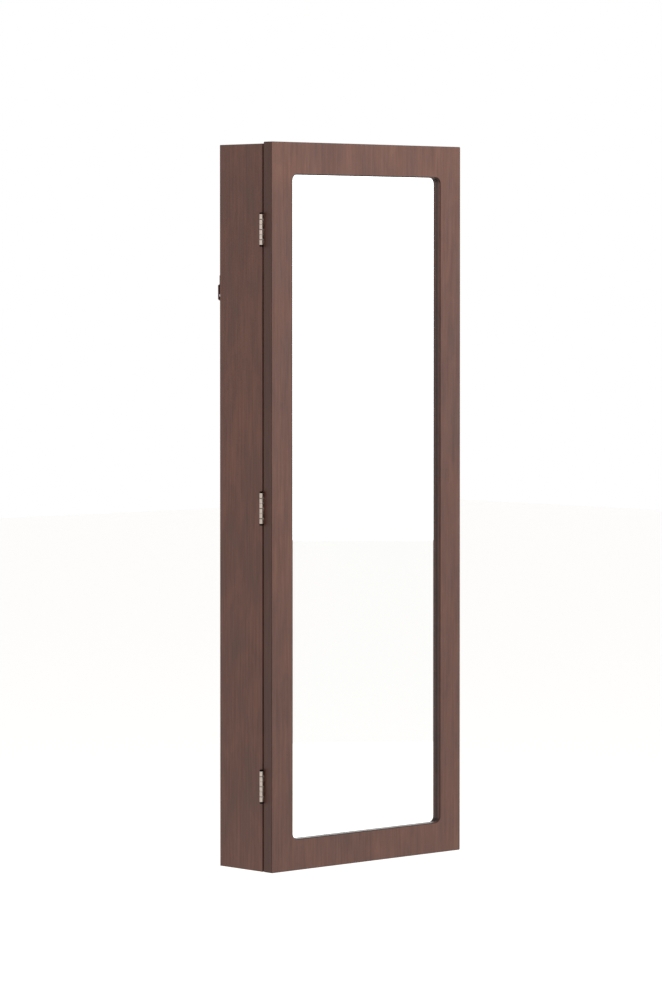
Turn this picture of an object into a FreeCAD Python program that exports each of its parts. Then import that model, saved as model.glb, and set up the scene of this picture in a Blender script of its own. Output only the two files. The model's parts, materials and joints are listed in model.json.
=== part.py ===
import FreeCAD, Part
import math
import os

from FreeCAD import Vector

# A wall-hung jewelry armoire with a full-length mirror door, in millimetres.
# X runs along its width, Z is up, and its door faces -Y. The wall is the plane y = 0.
# The origin is midway between the round holes of the two keyhole hangers, on the wall.

# ---- overall sizes ----
door_width = 435.0
door_height = 1200.0
door_thickness = 19.0
body_depth = 104.5
door_above_body = 3.0  # the door hides the body's top edge
door_below_body = 0.3
hinge_gap = 3.5  # air between the body's front edges and the door's back
wall_gap = 5.0  # the hangers and pads hold the body this far off the wall

# ---- carcass boards ----
side_thickness = 15.0
end_thickness = 15.0  # top and bottom panels
back_thickness = 5.0
back_rebate = 5.0  # how far the back panel laps onto the boards around it
back_clearance = 0.3
arris_radius = 1.2  # eased edges of the painted boards
dowel_radius = 4.0
dowel_in_side = 10.0
dowel_in_end = 20.0
dowel_inset = 22.0  # from the body's front and back to a dowel's centre
brad_radius = 0.8
brad_head_radius = 1.7
brad_head_height = 0.8
brad_length = 14.0
brads_up_side = 5
brads_across_end = 3
brad_from_corner = 40.0

# ---- lining ----
lining_thickness = 2.0
back_lining_thickness = 2.5
shelf_felt_thickness = 1.0
lining_setback = 20.0  # bare wood left inside the front edges
lining_clearance = 0.2
felt_setback = 2.0  # bare wood left at a shelf's front edge

# ---- door ----
stile_width = 48.0
top_rail_width = 53.5
bottom_rail_width = 51.5
sight_corner_radius = 10.0
sight_arris_radius = 2.0  # eased edge round the mirror
door_corner_radius = 2.0
mirror_recess = 9.0  # the door's face to the glass
glass_thickness = 3.0
glass_rebate = 8.0  # how far the glass laps behind the frame
board_rebate = 8.0  # how much wider the backing board's rebate is again
board_thickness = 3.8
door_lining_thickness = 2.5
glass_clearance = 1.0
glass_play = 0.2  # the glass to the board behind it
board_clearance = 0.4
board_screw_rows = 5
board_screw_bite = 4.5

# ---- butt hinges ----
hinge_length = 50.0
hinge_from_end = 141.0  # the body's top or bottom to the outer hinges' middles
barrel_radius = 3.1
barrel_out = 4.0  # the body's side to the pin's centre
pin_radius = 1.5
pin_running_clearance = 0.05
pin_head_radius = 2.9
pin_head_height = 2.4
knuckle_count = 6
knuckle_gap_open = 1.2
knuckle_gap_tight = 0.5
hinge_tip_cover = 4.0  # door or board left beyond a hinge screw's tip
leaf_thickness = 1.3
leaf_width = 13.0
leaf_screw_spacing = 30.0

# ---- countersunk screws ----
screw_radius = 1.5
screw_head_radius = 2.9
screw_head_height = 1.6
cross_length = 3.6  # the cross cut in a head for the driver
cross_width = 0.8
cross_depth = 1.0

# ---- keyhole hangers ----
hanger_below_top = 216.0  # the body's top to the hanger's top end
hanger_width = 14.0
hanger_sheet = 1.2
hanger_tab = 15.0
hanger_ramp = 2.0
hanger_bridge = 22.0
keyhole_radius = 4.5
keyhole_slot = 4.5
keyhole_slot_rise = 9.0
keyhole_from_bridge_end = 6.0
hanger_screw_length = 22.0
hanger_screw_radius = 1.75
hanger_screw_head_radius = 3.4
hanger_screw_head_height = 1.5

# ---- rubber wall pads ----
pad_radius = 10.0
pad_inset = 40.0  # from the body's side and bottom to a pad's centre

# ---- magnetic catches ----
catch_from_end = 110.0
catch_height = 46.0
catch_width = 14.0
catch_length = 18.0
magnet_height = 24.0
magnet_width = 8.0
magnet_length = 11.0
strike_height = 40.0
strike_width = 11.0
strike_thickness = 1.2
strike_clearance = 0.4
strike_corner_radius = 2.4
strike_screw_from_middle = 13.3
catch_screw_length = 24.0
strike_screw_length = 9.0

# ---- bays, from the floor up; the necklace bay takes what is left ----
shelf_thickness = 9.0
floor_bay_height = 160.0
bracelet_bay_height = 216.0
earring_bay_height = 172.0
ring_bay_height = 138.0
door_rack_reach = 28.0  # how far the racks on the door reach into the body
rack_clearance = 8.0
shelf_pin_radius = 2.5
shelf_pin_in_side = 8.0
shelf_pin_in_shelf = 8.0
shelf_pin_inset = 12.0
rod_radius = 2.0
rod_height = 26.0  # above its shelf
rod_in_side = 6.0
rod_setback = 4.0

# ---- necklace rail ----
rail_thickness = 12.0
rail_height = 30.0
rail_below_top = 26.0
rail_end_gap = 10.0
peg_count = 12
peg_radius = 1.6
peg_ball_radius = 3.2
peg_reach = 22.0
peg_in_rail = 8.0
peg_tilt = 18.0
peg_end_gap = 15.0  # the rail's end to its first peg
rail_screw_count = 3
rail_screw_drop = 7.5  # below the rail's middle
rail_tip_cover = 3.0  # wood left beyond a screw's tip

# ---- ring tray ----
ring_tray_depth = 27.0
ring_tray_wall = 6.0
ring_tray_floor = 6.0
ring_tray_gap = 6.0  # to the shelves above and below
ring_roll_count = 6
ring_roll_clearance = 0.15
ring_tray_end_gap = 8.0
tray_screw_inset = 18.0
tray_tip_cover = 1.0

# ---- earring bars ----
bar_count = 3
bar_height = 24.0
bar_thickness = 3.0
bar_standoff = 18.0  # the back lining to the bar
bar_mortise = 5.0
bar_end_clearance = 0.5
bracket_width = 10.0
bracket_lip = 3.0
bracket_end_gap = 3.0
bracket_shelf_gap = 8.0
bracket_tip_cover = 4.0
slot_count = 22
slot_width = 2.0
slot_height = 8.0

# ---- bracelet bars ----
bracelet_core_radius = 6.0
bracelet_sleeve_radius = 17.0
bracelet_core_clearance = 0.3
bracelet_end_clearance = 1.5
cradle_width = 12.0
cradle_thickness = 10.0  # wood below the notch
cradle_rise = 8.0  # above the bar's centre
cradle_half_depth = 13.0
upper_bar_below_shelf = 42.0
bracelet_bar_spacing = 104.0
sleeve_end_gap = 3.0
cradle_screw_bite = 10.0

# ---- racks on the door's back ----
door_rail_thickness = 10.0
door_rail_height = 24.0
door_rail_half_width = 150.0
door_rail_below_top = 70.0
door_peg_count = 8
door_peg_reach = 13.0
door_peg_end_gap = 10.0
panel_height = 180.0
panel_half_width = 140.0
panel_thickness = 3.0
panel_below_top = 430.0
panel_standoff = 15.0
panel_hole_radius = 1.1
panel_columns = 12
panel_rows = 6
panel_end_edge = 20.0  # the sheet's top or bottom to its first holes
panel_side_edge = 30.0
panel_corner_radius = 5.0
spacer_radius = 4.5
spacer_inset = 10.0
pouch_height = 190.0
pouch_half_width = 150.0
pouch_depth = 26.0
pouch_wall = 2.5
pouch_above_bottom = 90.0
door_screw_bite = 3.0

overcut = 1.0  # how far a cutting shape runs past the piece it cuts
tolerance = 1e-6

# ---- places worked out from the sizes ----
y_body_back = -wall_gap
y_body_front = y_body_back - body_depth
y_door_back = y_body_front - hinge_gap
y_door_face = y_door_back - door_thickness
keyhole_drop = hanger_tab + hanger_ramp + hanger_bridge - keyhole_from_bridge_end
z_body_top = hanger_below_top + keyhole_drop
z_door_top = z_body_top + door_above_body
z_door_bottom = z_door_top - door_height
z_body_bottom = z_door_bottom + door_below_body
x_out = door_width / 2
x_in = x_out - side_thickness
x_lined = x_in - lining_thickness
z_ceiling = z_body_top - end_thickness
z_floor = z_body_bottom + end_thickness
y_back_inner = y_body_back - back_thickness
y_lined = y_back_inner - back_lining_thickness
y_lining_front = y_body_front + lining_setback
y_shelf_front = y_door_back + door_rack_reach + rack_clearance
y_glass = y_door_face + mirror_recess
y_board_seat = y_glass + glass_thickness + glass_play
y_board_back = y_board_seat + board_thickness
y_door_lining = y_board_back + door_lining_thickness
z_lower_shelf = z_floor + floor_bay_height
z_middle_shelf = z_lower_shelf + shelf_thickness + bracelet_bay_height
z_ring_shelf = z_middle_shelf + shelf_thickness + earring_bay_height
z_upper_shelf = z_ring_shelf + shelf_thickness + ring_bay_height
shelf_heights = [z_lower_shelf, z_middle_shelf, z_ring_shelf, z_upper_shelf]
hinge_heights = [
    z_body_top - hinge_from_end,
    (z_body_top + z_body_bottom) / 2,
    z_body_bottom + hinge_from_end,
]
catch_heights = [z_body_top - catch_from_end, z_body_bottom + catch_from_end]
bracelet_heights = [
    z_middle_shelf - upper_bar_below_shelf,
    z_middle_shelf - upper_bar_below_shelf - bracelet_bar_spacing,
]
y_bracelet = (y_lined + y_shelf_front) / 2
x_hinge = -x_out - barrel_out
y_hinge = (y_body_front + y_door_back) / 2
x_hanger = x_out - hanger_width / 2


# ---- helpers ----
def block(x0, x1, y0, y1, z0, z1):
    return Part.makeBox(x1 - x0, y1 - y0, z1 - z0, Vector(x0, y0, z0))


def rod(start, direction, radius, length):
    return Part.makeCylinder(radius, length, Vector(*start), Vector(*direction))


def merged(solids):
    whole = solids[0]
    for solid in solids[1:]:
        whole = whole.fuse(solid)
    return whole.removeSplitter()


def ease(solid, radius, chosen):
    """Rounds the edges whose bounding box the test accepts."""
    edges = [edge for edge in solid.Edges if chosen(edge.BoundBox)]
    return solid.makeFillet(radius, edges)


def flat_at(low, high, value):
    return abs(low - value) < tolerance and abs(high - value) < tolerance


def along_y(box):
    return box.YLength > box.XLength + box.ZLength


def driver_cross(point, direction):
    """The cross that a driver fits, cut into a head whose middle is at the point."""
    bars = []
    for thin in [axis for axis in range(3) if not direction[axis]]:
        reach = [cross_depth if part else cross_length / 2 for part in direction]
        reach[thin] = cross_width / 2
        corner = Vector(*point) - Vector(*reach)
        bars.append(Part.makeBox(2 * reach[0], 2 * reach[1], 2 * reach[2], corner))
    return merged(bars)


driver_crosses = []


def countersunk_screw(point, direction, length):
    """A screw whose flat head lies at the point and whose tip is along the direction."""
    start = Vector(*point)
    along = Vector(*direction)
    head = Part.makeCone(screw_head_radius, screw_radius, screw_head_height, start, along)
    shank_start = start + along * screw_head_height
    shank = Part.makeCylinder(screw_radius, length - screw_head_height, shank_start, along)
    driver_crosses.append(driver_cross(point, direction))
    return merged([head, shank])


def spread(low, high, count):
    """Places at equal steps from low to high, both included."""
    return [low + (high - low) * step / (count - 1) for step in range(count)]


# ---- carcass ----
def side_panel(side):
    x_edges = sorted([side * x_in, side * x_out])
    board = block(x_edges[0], x_edges[1], y_body_front, y_body_back, z_body_bottom, z_body_top)
    board = ease(
        board,
        arris_radius,
        lambda box: flat_at(box.XMin, box.XMax, side * x_out)
        and (flat_at(box.YMin, box.YMax, y_body_front) or flat_at(box.ZMin, box.ZMax, z_body_top)),
    )
    rebate_edges = sorted([side * x_in, side * (x_in + back_rebate)])
    rebate = block(
        rebate_edges[0],
        rebate_edges[1],
        y_back_inner,
        y_body_back,
        z_floor - back_rebate,
        z_ceiling + back_rebate,
    )
    return board.cut(rebate)


def end_panel(z_low, z_inside):
    board = block(-x_in, x_in, y_body_front, y_body_back, z_low, z_low + end_thickness)
    outward = 1 if z_inside > z_low else -1
    z_rebate = sorted([z_inside, z_inside - outward * back_rebate])
    return board.cut(block(-x_in, x_in, y_back_inner, y_body_back, z_rebate[0], z_rebate[1]))


def back_panel():
    reach = back_rebate - back_clearance
    return block(
        -x_in - reach, x_in + reach, y_back_inner, y_body_back, z_floor - reach, z_ceiling + reach
    )


def carcass_dowels():
    dowels = []
    for side in (-1, 1):
        for z in (z_body_top - end_thickness / 2, z_body_bottom + end_thickness / 2):
            for y in (y_body_front + dowel_inset, y_back_inner - dowel_inset):
                start = (side * (x_in + dowel_in_side), y, z)
                dowels.append(rod(start, (-side, 0, 0), dowel_radius, dowel_in_side + dowel_in_end))
    return dowels


def brad(x, z):
    head = rod((x, y_body_back, z), (0, -1, 0), brad_head_radius, brad_head_height)
    shank = rod((x, y_body_back - brad_head_height, z), (0, -1, 0), brad_radius, brad_length)
    return merged([head, shank])


def back_panel_brads():
    x_lap = x_in + back_rebate / 2
    z_lap_top = z_ceiling + back_rebate / 2
    z_lap_bottom = z_floor - back_rebate / 2
    brads = []
    for z in spread(z_floor + end_thickness, z_ceiling - end_thickness, brads_up_side):
        brads += [brad(-x_lap, z), brad(x_lap, z)]
    for x in spread(-x_in + brad_from_corner, x_in - brad_from_corner, brads_across_end):
        brads += [brad(x, z_lap_top), brad(x, z_lap_bottom)]
    return brads


# ---- wall fixings ----
def keyhole_hanger(side):
    """A bent steel strip: a screwed tab, and a bridge with the keyhole standing on the wall."""
    z_top = keyhole_drop
    z_tab = z_top - hanger_tab
    z_bridge = z_tab - hanger_ramp
    z_bridge_end = z_bridge - hanger_bridge
    z_end = z_bridge_end - hanger_ramp
    inner = [
        (y_body_back, z_top),
        (y_body_back, z_tab),
        (-hanger_sheet, z_bridge),
        (-hanger_sheet, z_bridge_end),
        (y_body_back, z_end),
    ]
    outer = [
        (y_body_back + hanger_sheet, z_end - hanger_sheet / 2),
        (0.0, z_bridge_end - hanger_sheet / 2),
        (0.0, z_bridge + hanger_sheet / 2),
        (y_body_back + hanger_sheet, z_tab + hanger_sheet / 2),
        (y_body_back + hanger_sheet, z_top),
    ]
    foot = [(y_body_back, z_end - hanger_sheet / 2)]
    x_low = side * x_hanger - hanger_width / 2
    corners = [Vector(x_low, y, z) for y, z in inner + foot + outer]
    outline = Part.makePolygon(corners + [corners[0]])
    strip = Part.Face(outline).extrude(Vector(hanger_width, 0, 0))
    hole = rod((side * x_hanger, -2 * hanger_sheet, 0), (0, 1, 0), keyhole_radius, 4 * hanger_sheet)
    slot = block(
        side * x_hanger - keyhole_slot / 2,
        side * x_hanger + keyhole_slot / 2,
        -2 * hanger_sheet,
        2 * hanger_sheet,
        0,
        keyhole_slot_rise,
    )
    slot_end = rod(
        (side * x_hanger, -2 * hanger_sheet, keyhole_slot_rise),
        (0, 1, 0),
        keyhole_slot / 2,
        4 * hanger_sheet,
    )
    return strip.cut(hole).cut(slot).cut(slot_end)


def hanger_screws():
    z = keyhole_drop - hanger_tab / 2
    y_head = y_body_back + hanger_sheet
    y_crown = y_head + hanger_screw_head_height
    screws = []
    for side in (-1, 1):
        start = (side * x_hanger, y_head, z)
        head = rod(start, (0, 1, 0), hanger_screw_head_radius, hanger_screw_head_height)
        head = ease(head, hanger_screw_head_height / 2, lambda box: flat_at(box.YMin, box.YMax, y_crown))
        shank = rod(start, (0, -1, 0), hanger_screw_radius, hanger_screw_length)
        screws.append(merged([head, shank]))
    return screws


def wall_pads():
    z = z_body_bottom + pad_inset
    x = x_out - pad_inset
    return [rod((side * x, y_body_back, z), (0, 1, 0), pad_radius, wall_gap) for side in (-1, 1)]


# ---- lining ----
def back_lining():
    edge = x_in - lining_clearance
    z_top = z_ceiling - lining_clearance
    return block(-edge, edge, y_lined, y_back_inner, z_floor + shelf_felt_thickness, z_top)


def side_lining(side):
    x_edges = sorted([side * x_in, side * x_lined])
    z_top = z_ceiling - lining_clearance
    return block(x_edges[0], x_edges[1], y_lining_front, y_lined, z_floor + shelf_felt_thickness, z_top)


def shelf_felts():
    """Felt on each shelf, and on the floor of the body."""
    edge = x_lined - lining_clearance
    felts = [block(-x_in, x_in, y_lining_front, y_back_inner, z_floor, z_floor + shelf_felt_thickness)]
    for z in shelf_heights:
        z_top = z + shelf_thickness
        y_front = y_shelf_front + felt_setback
        felts.append(block(-edge, edge, y_front, y_lined, z_top, z_top + shelf_felt_thickness))
    return felts


# ---- shelves ----
def shelf(z_low):
    board = block(-x_lined, x_lined, y_shelf_front, y_lined, z_low, z_low + shelf_thickness)
    return ease(board, arris_radius, lambda box: flat_at(box.YMin, box.YMax, y_shelf_front))


def shelf_pins():
    pins = []
    for z_low in shelf_heights:
        z = z_low + shelf_thickness / 2
        for side in (-1, 1):
            for y in (y_shelf_front + shelf_pin_inset, y_lined - shelf_pin_inset):
                start = (side * (x_in + shelf_pin_in_side), y, z)
                length = shelf_pin_in_side + lining_thickness + shelf_pin_in_shelf
                pins.append(rod(start, (-side, 0, 0), shelf_pin_radius, length))
    return pins


def guard_rods():
    """A brass rod across the front of the two lower bays, held in the sides."""
    reach = x_in + rod_in_side
    y = y_shelf_front + rod_setback
    rods = []
    for z_top in (z_floor, z_lower_shelf + shelf_thickness):
        rods.append(rod((-reach, y, z_top + rod_height), (1, 0, 0), rod_radius, 2 * reach))
    return rods


# ---- necklace rail ----
def necklace_rail():
    z_top = z_ceiling - rail_below_top
    edge = x_lined - rail_end_gap
    board = block(-edge, edge, y_lined - rail_thickness, y_lined, z_top - rail_height, z_top)
    return ease(
        board, arris_radius, lambda box: flat_at(box.YMin, box.YMax, y_lined - rail_thickness)
    )


def peg(x, y_face, z, toward, reach):
    """A straight peg, tilted up, with a ball on its tip."""
    rise = math.tan(math.radians(peg_tilt))
    along = Vector(0, toward, rise).normalize()
    base = Vector(x, y_face - toward * peg_in_rail, z - peg_in_rail * rise)
    length = (reach + peg_in_rail) / math.cos(math.radians(peg_tilt))
    shaft = Part.makeCylinder(peg_radius, length, base, along)
    ball = Part.makeSphere(peg_ball_radius, base + along * length)
    return merged([shaft, ball])


def necklace_pegs():
    z = z_ceiling - rail_below_top - rail_height / 2
    edge = x_lined - rail_end_gap - peg_end_gap
    y_face = y_lined - rail_thickness
    return [peg(x, y_face, z, -1, peg_reach) for x in spread(-edge, edge, peg_count)]


# ---- ring tray ----
def ring_tray_box():
    edge = x_lined - ring_tray_end_gap
    z_low = z_ring_shelf + shelf_thickness + shelf_felt_thickness + ring_tray_gap
    z_high = z_upper_shelf - ring_tray_gap
    return edge, z_low, z_high


def ring_tray():
    edge, z_low, z_high = ring_tray_box()
    outer = block(-edge, edge, y_lined - ring_tray_depth, y_lined, z_low, z_high)
    inner = block(
        -edge + ring_tray_wall,
        edge - ring_tray_wall,
        y_lined - ring_tray_depth,
        y_lined - ring_tray_floor,
        z_low + ring_tray_wall,
        z_high - ring_tray_wall,
    )
    return outer.cut(inner)


def ring_rolls():
    edge, z_low, z_high = ring_tray_box()
    reach = edge - ring_tray_wall - ring_roll_clearance
    z_first = z_low + ring_tray_wall
    pitch = (z_high - z_low - 2 * ring_tray_wall) / ring_roll_count
    radius = pitch / 2 - ring_roll_clearance
    y = y_lined - ring_tray_floor - radius
    rolls = []
    for number in range(ring_roll_count):
        rolls.append(rod((-reach, y, z_first + (number + 0.5) * pitch), (1, 0, 0), radius, 2 * reach))
    return rolls


# ---- earring bars ----
def bracket_span():
    z_low = z_middle_shelf + shelf_thickness + shelf_felt_thickness + bracket_shelf_gap
    z_high = z_ring_shelf - bracket_shelf_gap
    return z_low, z_high


def earring_bar_blanks(end_clearance):
    """The bars as plain strips; longer by the clearance, they are the mortises that hold them."""
    z_low, z_high = bracket_span()
    reach = x_lined - bracket_end_gap - bracket_width + bar_mortise
    half = bar_height / 2
    centres = spread(z_low + bracket_shelf_gap + half, z_high - bracket_shelf_gap - half, bar_count)
    y_back = y_lined - bar_standoff
    blanks = []
    for z in centres:
        blanks.append(
            block(
                -reach - end_clearance,
                reach + end_clearance,
                y_back - bar_thickness,
                y_back,
                z - half,
                z + half,
            )
        )
    return blanks


def earring_bracket(side):
    z_low, z_high = bracket_span()
    x_far = x_lined - bracket_end_gap
    x_edges = sorted([side * x_far, side * (x_far - bracket_width)])
    y_front = y_lined - bar_standoff - bar_thickness - bracket_lip
    post = block(x_edges[0], x_edges[1], y_front, y_lined, z_low, z_high)
    for mortise in earring_bar_blanks(bar_end_clearance):
        post = post.cut(mortise)
    return post


def earring_bars():
    edge = x_lined - bracket_end_gap - 2 * bracket_width
    bars = []
    for blank in earring_bar_blanks(0):
        box = blank.BoundBox
        z = (box.ZMin + box.ZMax) / 2
        for x in spread(-edge, edge, slot_count):
            slot = block(
                x - slot_width / 2,
                x + slot_width / 2,
                box.YMin - overcut,
                box.YMax + overcut,
                z - slot_height / 2,
                z + slot_height / 2,
            )
            blank = blank.cut(slot)
        bars.append(blank)
    return bars


# ---- bracelet bars ----
def cradle(side, z):
    """A block on the side with a notch, open at its top, for the end of a bracelet bar."""
    x_edges = sorted([side * x_lined, side * (x_lined - cradle_width)])
    notch_radius = bracelet_core_radius + bracelet_core_clearance
    z_low = z - notch_radius - cradle_thickness
    body = block(
        x_edges[0],
        x_edges[1],
        y_bracelet - cradle_half_depth,
        y_bracelet + cradle_half_depth,
        z_low,
        z + cradle_rise,
    )

    def over_notch(box):
        return flat_at(box.ZMin, box.ZMax, z + cradle_rise) and box.XLength > box.YLength

    body = ease(body, arris_radius, over_notch)
    x_start = x_edges[0] - overcut
    seat = rod((x_start, y_bracelet, z), (1, 0, 0), notch_radius, cradle_width + 2 * overcut)
    mouth = block(
        x_start,
        x_edges[1] + overcut,
        y_bracelet - notch_radius,
        y_bracelet + notch_radius,
        z,
        z + cradle_rise + overcut,
    )
    return body.cut(seat).cut(mouth)


def bracelet_cradles():
    return [cradle(side, z) for z in bracelet_heights for side in (-1, 1)]


def cradle_screws():
    screws = []
    for z_bar in bracelet_heights:
        z = z_bar - bracelet_core_radius - bracelet_core_clearance - cradle_thickness / 2
        for side in (-1, 1):
            start = (side * (x_lined - cradle_width), y_bracelet, z)
            length = cradle_width + lining_thickness + cradle_screw_bite
            screws.append(countersunk_screw(start, (side, 0, 0), length))
    return screws


def bracelet_core(z):
    reach = x_lined - bracelet_end_clearance
    core = rod((-reach, y_bracelet, z), (1, 0, 0), bracelet_core_radius, 2 * reach)
    return ease(core, arris_radius, lambda box: box.XLength < box.YLength)


def bracelet_sleeve(z):
    reach = x_lined - cradle_width - sleeve_end_gap
    sleeve = rod((-reach, y_bracelet, z), (1, 0, 0), bracelet_sleeve_radius, 2 * reach)
    return sleeve.cut(rod((-reach, y_bracelet, z), (1, 0, 0), bracelet_core_radius, 2 * reach))


# ---- screws through the back panel into the racks ----
def rack_screws():
    screws = []

    def add(x, z, bite):
        length = y_body_back - y_lined + bite
        screws.append(countersunk_screw((x, y_body_back, z), (0, -1, 0), length))

    z_rail = z_ceiling - rail_below_top - rail_height / 2
    for x in spread(-x_in / 2, x_in / 2, rail_screw_count):
        add(x, z_rail - rail_screw_drop, rail_thickness - rail_tip_cover)
    edge, z_low, z_high = ring_tray_box()
    for x in (-edge / 2, edge / 2):
        for z in (z_low + tray_screw_inset, z_high - tray_screw_inset):
            add(x, z, ring_tray_floor - tray_tip_cover)
    z_low, z_high = bracket_span()
    x_bracket = x_lined - bracket_end_gap - bracket_width / 2
    for x in (-x_bracket, x_bracket):
        for z in (z_low + bar_height, z_high - bar_height):
            add(x, z, bar_standoff - bracket_tip_cover)
    return screws


# ---- hinges ----
def knuckle_spans(z_mid, owner):
    """Low and high ends of a leaf's knuckles: the body has the first from the top, then the door."""
    pitch = hinge_length / knuckle_count
    z_top = z_mid + hinge_length / 2
    spans = []
    for number in range(knuckle_count):
        if (number % 2 == 0) != (owner == "body"):
            continue
        above = knuckle_gap_tight if owner == "body" else knuckle_gap_open
        below = knuckle_gap_open if owner == "body" else knuckle_gap_tight
        high = z_top - number * pitch - (above / 2 if number > 0 else 0)
        low = z_top - (number + 1) * pitch + (below / 2 if number < knuckle_count - 1 else 0)
        spans.append((low, high))
    return spans


def hinge_leaf(z_mid, owner):
    if owner == "body":
        y_edges = (y_body_front - leaf_thickness, y_body_front)
        bore_radius = pin_radius
    else:
        y_edges = (y_door_back, y_door_back + leaf_thickness)
        bore_radius = pin_radius + pin_running_clearance
    z_low = z_mid - hinge_length / 2
    plate = block(-x_out, -x_out + leaf_width, y_edges[0], y_edges[1], z_low, z_low + hinge_length)
    pieces = [plate]
    for low, high in knuckle_spans(z_mid, owner):
        pieces.append(block(x_hinge, -x_out, y_edges[0], y_edges[1], low, high))
        pieces.append(rod((x_hinge, y_hinge, low), (0, 0, 1), barrel_radius, high - low))
    bore_start = (x_hinge, y_hinge, z_low - overcut)
    bore = rod(bore_start, (0, 0, 1), bore_radius, hinge_length + 2 * overcut)
    return merged(pieces).cut(bore)


def hinge_pin(z_mid):
    z_low = z_mid - hinge_length / 2 - knuckle_gap_tight
    length = hinge_length + 2 * knuckle_gap_tight
    shaft = rod((x_hinge, y_hinge, z_low), (0, 0, 1), pin_radius, length)
    foot = rod((x_hinge, y_hinge, z_low), (0, 0, -1), pin_head_radius, pin_head_height)
    head = rod((x_hinge, y_hinge, z_low + length), (0, 0, 1), pin_head_radius, pin_head_height)
    return merged([shaft, foot, head])


def hinge_screws(owner):
    x = -x_out + leaf_width / 2
    y = y_body_front - leaf_thickness if owner == "body" else y_door_back + leaf_thickness
    toward = 1 if owner == "body" else -1
    length = door_thickness - hinge_tip_cover
    screws = []
    for z_mid in hinge_heights:
        for z in (z_mid - leaf_screw_spacing / 2, z_mid + leaf_screw_spacing / 2):
            screws.append(countersunk_screw((x, y, z), (0, toward, 0), length))
    return screws


# ---- magnetic catches ----
def magnet_block(z, y_front):
    x_mid = x_in - catch_width / 2
    return block(
        x_mid - magnet_width / 2,
        x_mid + magnet_width / 2,
        y_front,
        y_front + magnet_length,
        z - magnet_height / 2,
        z + magnet_height / 2,
    )


def catch_cases():
    y_front = y_door_back + strike_thickness + strike_clearance
    cases = []
    for z in catch_heights:
        z_low = z - catch_height / 2
        case = block(x_in - catch_width, x_in, y_front, y_front + catch_length, z_low, z_low + catch_height)
        case = ease(case, arris_radius, lambda box: flat_at(box.XMin, box.XMax, x_in - catch_width))
        cases.append(case.cut(magnet_block(z, y_front)))
    return cases


def catch_magnets():
    y_front = y_door_back + strike_thickness + strike_clearance
    return [magnet_block(z, y_front) for z in catch_heights]


def catch_screws():
    y = y_door_back + strike_thickness + strike_clearance + catch_length / 2
    drop = (catch_height / 2 + magnet_height / 2) / 2
    screws = []
    for z_mid in catch_heights:
        for z in (z_mid - drop, z_mid + drop):
            screws.append(countersunk_screw((x_in - catch_width, y, z), (1, 0, 0), catch_screw_length))
    return screws


def strike_plates():
    x_mid = x_in - catch_width / 2
    plates = []
    for z in catch_heights:
        plate = block(
            x_mid - strike_width / 2,
            x_mid + strike_width / 2,
            y_door_back,
            y_door_back + strike_thickness,
            z - strike_height / 2,
            z + strike_height / 2,
        )
        plates.append(ease(plate, strike_corner_radius, along_y))
    return plates


def strike_screws():
    x = x_in - catch_width / 2
    y = y_door_back + strike_thickness
    screws = []
    for z_mid in catch_heights:
        for z in (z_mid - strike_screw_from_middle, z_mid + strike_screw_from_middle):
            screws.append(countersunk_screw((x, y, z), (0, -1, 0), strike_screw_length))
    return screws


# ---- door ----
def door_opening(margin, y0, y1):
    """The space inside the frame, this much wider than the visible mirror all round."""
    edge = x_out - stile_width + margin
    z_low = z_door_bottom + bottom_rail_width - margin
    z_high = z_door_top - top_rail_width + margin
    return block(-edge, edge, y0, y1, z_low, z_high)


def door_frame():
    board = block(-x_out, x_out, y_door_face, y_door_back, z_door_bottom, z_door_top)
    board = ease(board, door_corner_radius, along_y)
    board = ease(board, arris_radius, lambda box: flat_at(box.YMin, box.YMax, y_door_face))
    sight = door_opening(0, y_door_face - overcut, y_door_back + overcut)
    sight = ease(sight, sight_corner_radius, along_y)
    glass_seat = door_opening(glass_rebate, y_glass, y_board_seat)
    board_seat = door_opening(glass_rebate + board_rebate, y_board_seat, y_door_back + overcut)
    frame = board.cut(sight).cut(glass_seat).cut(board_seat)
    x_stile_middle = x_out - stile_width / 2

    def around_sight(box):
        inside = -x_stile_middle < box.XMin and box.XMax < x_stile_middle
        return inside and flat_at(box.YMin, box.YMax, y_door_face)

    return ease(frame, sight_arris_radius, around_sight)


def mirror_glass():
    return door_opening(glass_rebate - glass_clearance, y_glass, y_glass + glass_thickness)


def mirror_board():
    margin = glass_rebate + board_rebate - board_clearance
    return door_opening(margin, y_board_seat, y_board_back)


def door_lining():
    margin = glass_rebate + board_rebate - board_clearance
    return door_opening(margin, y_board_back, y_door_lining)


def board_screws():
    x = x_out - stile_width + glass_rebate + board_rebate / 2
    z_low = z_door_bottom + bottom_rail_width - glass_rebate - board_rebate / 2
    z_high = z_door_top - top_rail_width + glass_rebate + board_rebate / 2
    places = [(side * x, z) for side in (-1, 1) for z in spread(z_low, z_high, board_screw_rows)]
    places += [(0, z_low), (0, z_high)]
    length = board_thickness + board_screw_bite
    return [countersunk_screw((x, y_board_back, z), (0, -1, 0), length) for x, z in places]


# ---- racks on the door ----
def door_peg_rail():
    z_top = z_door_top - door_rail_below_top
    y_front = y_door_lining + door_rail_thickness
    edge = door_rail_half_width
    rail = block(-edge, edge, y_door_lining, y_front, z_top - door_rail_height, z_top)
    return ease(rail, arris_radius, lambda box: flat_at(box.YMin, box.YMax, y_front))


def door_pegs():
    z = z_door_top - door_rail_below_top - door_rail_height / 2
    edge = door_rail_half_width - door_peg_end_gap
    y_face = y_door_lining + door_rail_thickness
    return [peg(x, y_face, z, 1, door_peg_reach) for x in spread(-edge, edge, door_peg_count)]


def panel_corners():
    z_top = z_door_top - panel_below_top
    x = panel_half_width - spacer_inset
    z_edges = (z_top - panel_height + spacer_inset, z_top - spacer_inset)
    return [(side * x, z) for side in (-1, 1) for z in z_edges]


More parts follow.
